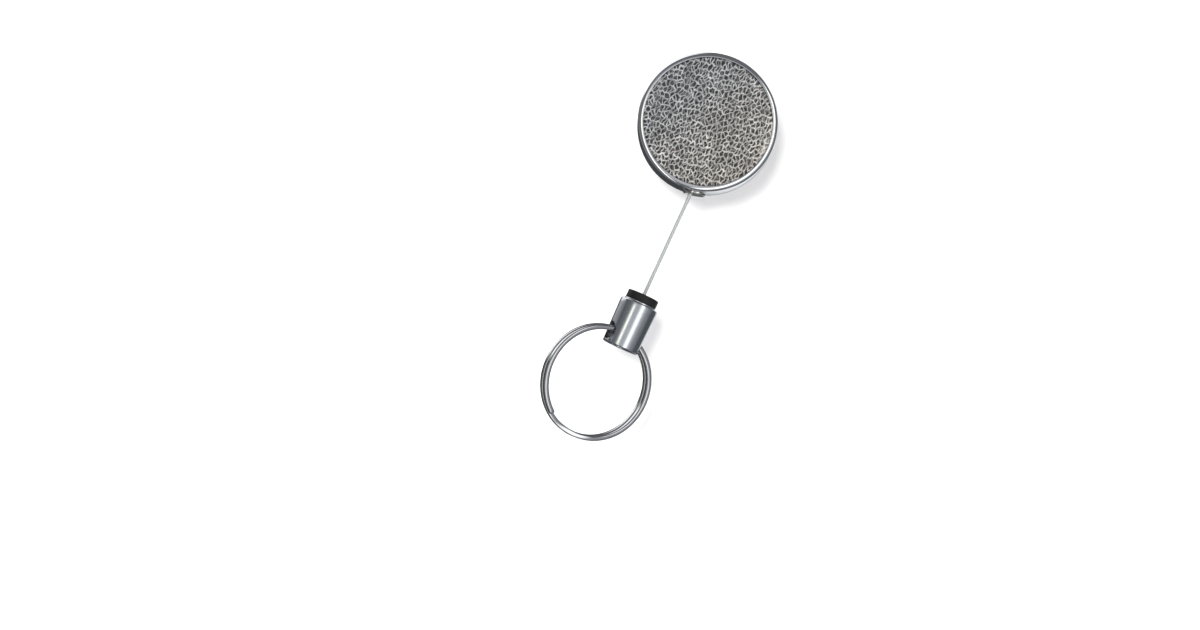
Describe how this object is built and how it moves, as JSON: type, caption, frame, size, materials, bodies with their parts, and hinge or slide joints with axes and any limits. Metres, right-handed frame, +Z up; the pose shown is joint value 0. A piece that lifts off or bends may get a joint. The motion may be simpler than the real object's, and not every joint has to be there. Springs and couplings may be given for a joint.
{
  "type": "retractable badge reel",
  "caption": "Round metal key reel with a leather-look face, sprung spool and coated cable, swivel barrel with split ring, and a sprung swivel clip on the back.",
  "frame": {"origin": "centre of the round case, on the spool's axis and halfway through the case's thickness", "axes": "+Z up as the reel hangs, with the cable outlet at the bottom; the leather-look face looks along -Y and the clip is on the +Y side; +X is to the right seen from the front"},
  "size_m": [0.051, 0.025, 0.1097],
  "materials": {
    "chrome": "bright polished chrome plate",
    "polished_nickel": "polished nickel plate, slightly warm",
    "zinc_plate": "dull zinc-plated steel",
    "spring_steel": "dark blued spring steel",
    "satin_metal": "satin turned metal with fine lengthwise sheen",
    "leather": "dark grey pebbled leather look with pale creases",
    "black_rubber": "matt black",
    "coated_cable": "clear nylon coat over thin steel strands, pale grey",
    "acetal": "off-white moulded acetal",
    "nylon_washer": "natural nylon",
    "brass": "plain brass"
  },
  "bodies": {
    "case": {"front_shell": "chrome", "leather_inlay": "leather", "back_plate": "zinc_plate", "center_post": "zinc_plate", "front_washer": "nylon_washer", "rear_washer": "nylon_washer", "outlet_eyelet": "polished_nickel", "cable_inner_run": "coated_cable", "swivel_rivet": "polished_nickel", "clip_washer": "nylon_washer"},
    "spool": {"spool_drum": "acetal", "spool_cover": "acetal", "cable_coil": "coated_cable", "cable_anchor": "brass", "power_spring": "spring_steel"},
    "cable_turn": {"cable_bend_upper": "coated_cable"},
    "cable_lean": {"cable_bend_lower": "coated_cable"},
    "cable_end": {"cable_free_run": "coated_cable", "cable_ferrule": "zinc_plate", "thrust_washer": "brass"},
    "barrel": {"barrel": "satin_metal", "bumper": "black_rubber"},
    "ring": {"split_ring": "chrome"},
    "clip": {"clip_base": "polished_nickel", "clip_pin": "zinc_plate"},
    "clip_lever": {"clip_lever": "polished_nickel", "clip_spring": "spring_steel"}
  },
  "joints": [
    {"name": "spool_spin", "type": "hinge", "parent": "case", "child": "spool", "pos_m": [0, 0, 0], "axis": [0, 1, 0], "range_deg": [-137, 2615], "deforming": ["power_spring", "cable_coil"]},
    {"name": "cable_sweep", "type": "hinge", "parent": "case", "child": "cable_turn", "pos_m": [-0.0012, 0, -0.02], "axis": [0, 0, 1], "continuous": true},
    {"name": "cable_tilt", "type": "hinge", "parent": "cable_turn", "child": "cable_lean", "pos_m": [-0.0012, 0, -0.02], "axis": [0, 1, 0], "range_deg": [-14.3, 60.7]},
    {"name": "cable_pull", "type": "slide", "parent": "cable_lean", "child": "cable_end", "axis": [-0.247, 0, -0.969], "range_m": [-0.0297, 0.5703], "deforming": ["cable_free_run"]},
    {"name": "barrel_swivel", "type": "hinge", "parent": "cable_end", "child": "barrel", "pos_m": [-0.0012, 0, -0.02], "axis": [-0.247, 0, -0.969], "continuous": true},
    {"name": "ring_swing", "type": "hinge", "parent": "barrel", "child": "ring", "pos_m": [-0.0117, 0, -0.0612], "axis": [0.8595, 0.4617, -0.2191], "range_deg": [-110, 110]},
    {"name": "clip_swivel", "type": "hinge", "parent": "case", "child": "clip", "pos_m": [0, 0.006, 0], "axis": [0, 1, 0], "continuous": true},
    {"name": "clip_open", "type": "hinge", "parent": "clip", "child": "clip_lever", "pos_m": [0, 0.0103, 0.005], "axis": [1, 0, 0], "range_deg": [0, 25], "stiffness_Nm_per_rad": 0.12, "springref_deg": -17.19, "deforming": ["clip_spring"]}
  ],
  "couplings": [
    {"joint": "spool_spin", "follows": "cable_pull", "rad_per_m": 80}
  ]
}
